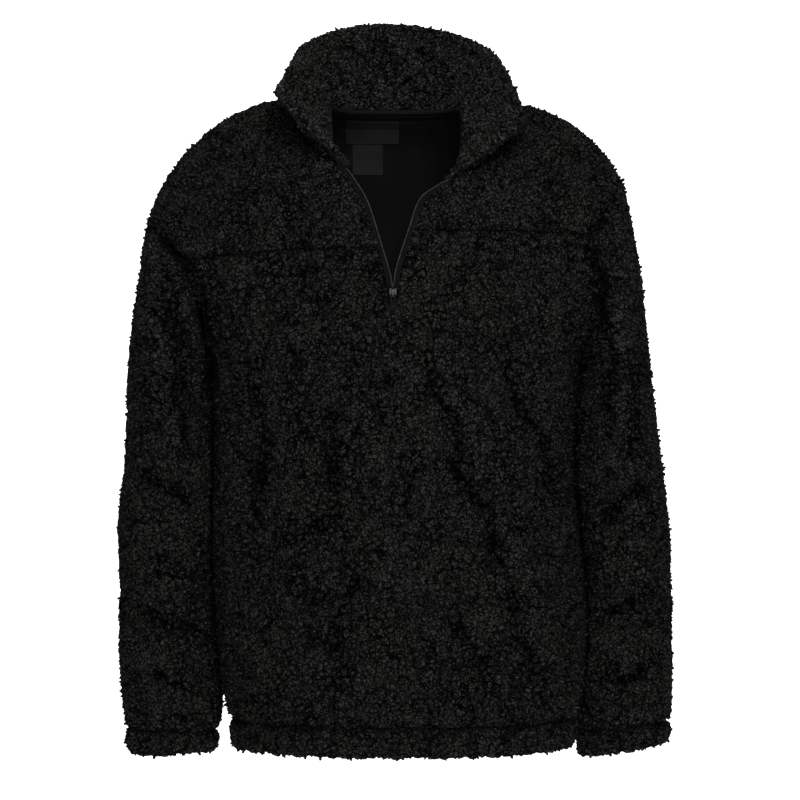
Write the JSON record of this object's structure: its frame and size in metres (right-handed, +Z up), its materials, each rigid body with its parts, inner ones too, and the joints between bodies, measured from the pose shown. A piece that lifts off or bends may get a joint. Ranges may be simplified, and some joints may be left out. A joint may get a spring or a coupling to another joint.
{
  "type": "sherpa fleece pullover",
  "caption": "Long-sleeved sherpa fleece pullover with a stand collar fallen open at a part-length front zip, in the hollow form it has when worn.",
  "frame": {"origin": "middle of the shoulder line at the neck, where the wearer's shoulders hold it", "axes": "+Z up along the body, +Y from front to back, +X to the wearer's left"},
  "size_m": [0.6007, 0.2869, 0.8043],
  "materials": {
    "pile": "black curly sherpa pile",
    "lining": "smooth near-black knit backing",
    "tape": "woven black zip tape",
    "label": "bare woven satin",
    "metal": "dark nickel plating"
  },
  "bodies": {
    "pullover": {"back": "pile", "back_lining": "lining", "brand_label": "label", "care_label": "label", "collar_inner": "pile", "collar_outer": "pile", "cuff_left": "pile", "cuff_right": "pile", "front_body": "pile", "front_yoke_left": "pile", "front_yoke_right": "pile", "hem_band": "pile", "sleeve_left": "pile", "sleeve_right": "pile", "zip_slider": "metal", "zip_tape_collar_left": "tape", "zip_tape_collar_right": "tape", "zip_tape_left": "tape", "zip_tape_right": "tape"},
    "pull": {"zip_pull": "metal"}
  },
  "joints": [
    {"name": "pull_swing", "type": "hinge", "parent": "pullover", "child": "pull", "pos_m": [-0.003, -0.14003, -0.2155], "axis": [-1, 0, 0], "range_deg": [0, 145]}
  ]
}
